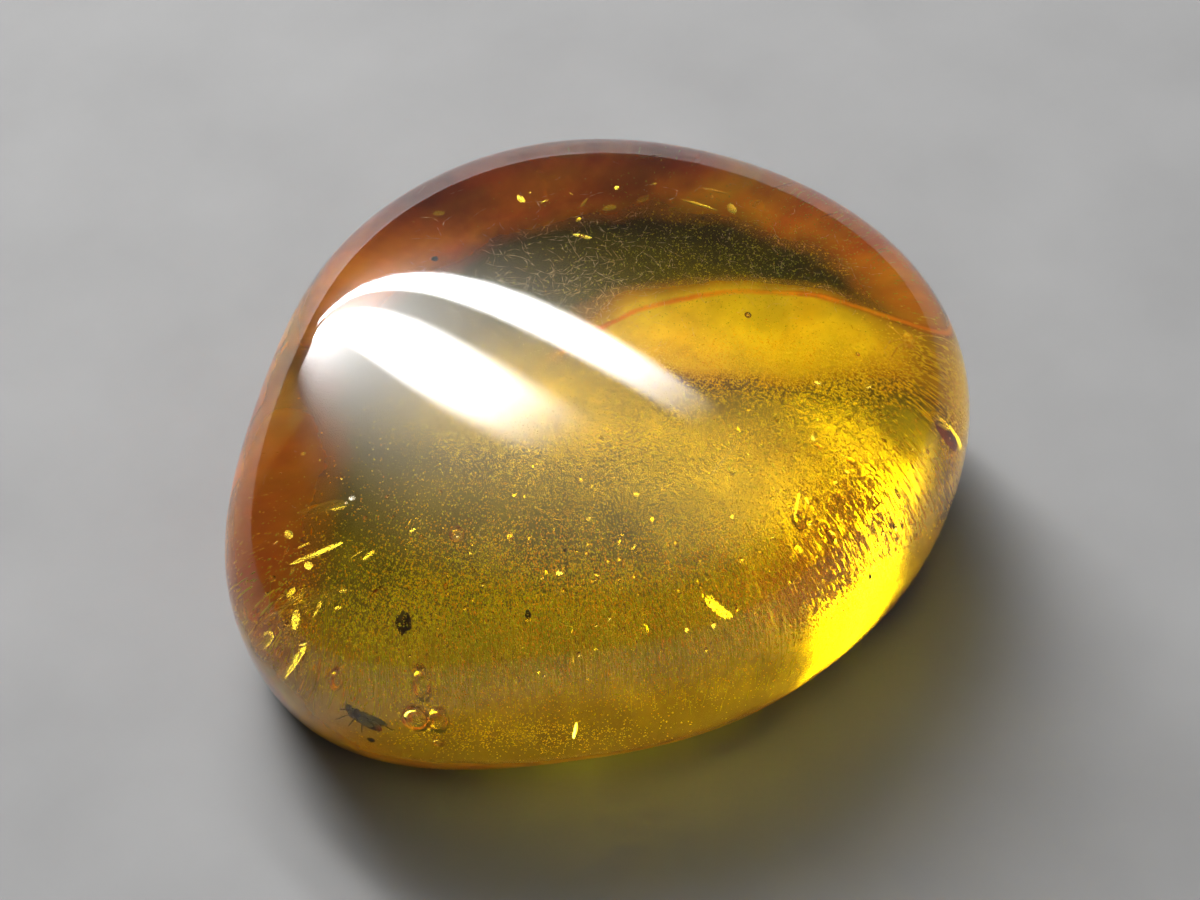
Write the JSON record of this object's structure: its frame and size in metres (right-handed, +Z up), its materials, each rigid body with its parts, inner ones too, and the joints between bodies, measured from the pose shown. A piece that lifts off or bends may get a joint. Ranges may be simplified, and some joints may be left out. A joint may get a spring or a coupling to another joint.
{
  "type": "insect in amber",
  "caption": "Polished egg-shaped pebble of clear golden amber with a dark fly and a small pale midge sealed inside, lying on its flat base.",
  "frame": {"origin": "on the base plane, under the middle of the pebble's box", "axes": "+X along the pebble's length, away from its narrow end; +Y across it; +Z up, out of the base"},
  "size_m": [0.0324, 0.0276, 0.0128],
  "materials": {
    "amber": "clear golden amber, polished",
    "dark_insect": "dark greenish-black chitin",
    "pale_insect": "pale yellow chitin",
    "dark_fleck": "dark bark dust",
    "gold_fleck": "pale resin dust and small cracks"
  },
  "bodies": {
    "root": {"amber_lower": "amber", "amber_upper": "amber", "fly": "dark_insect", "midge": "pale_insect"}
  },
  "joints": []
}
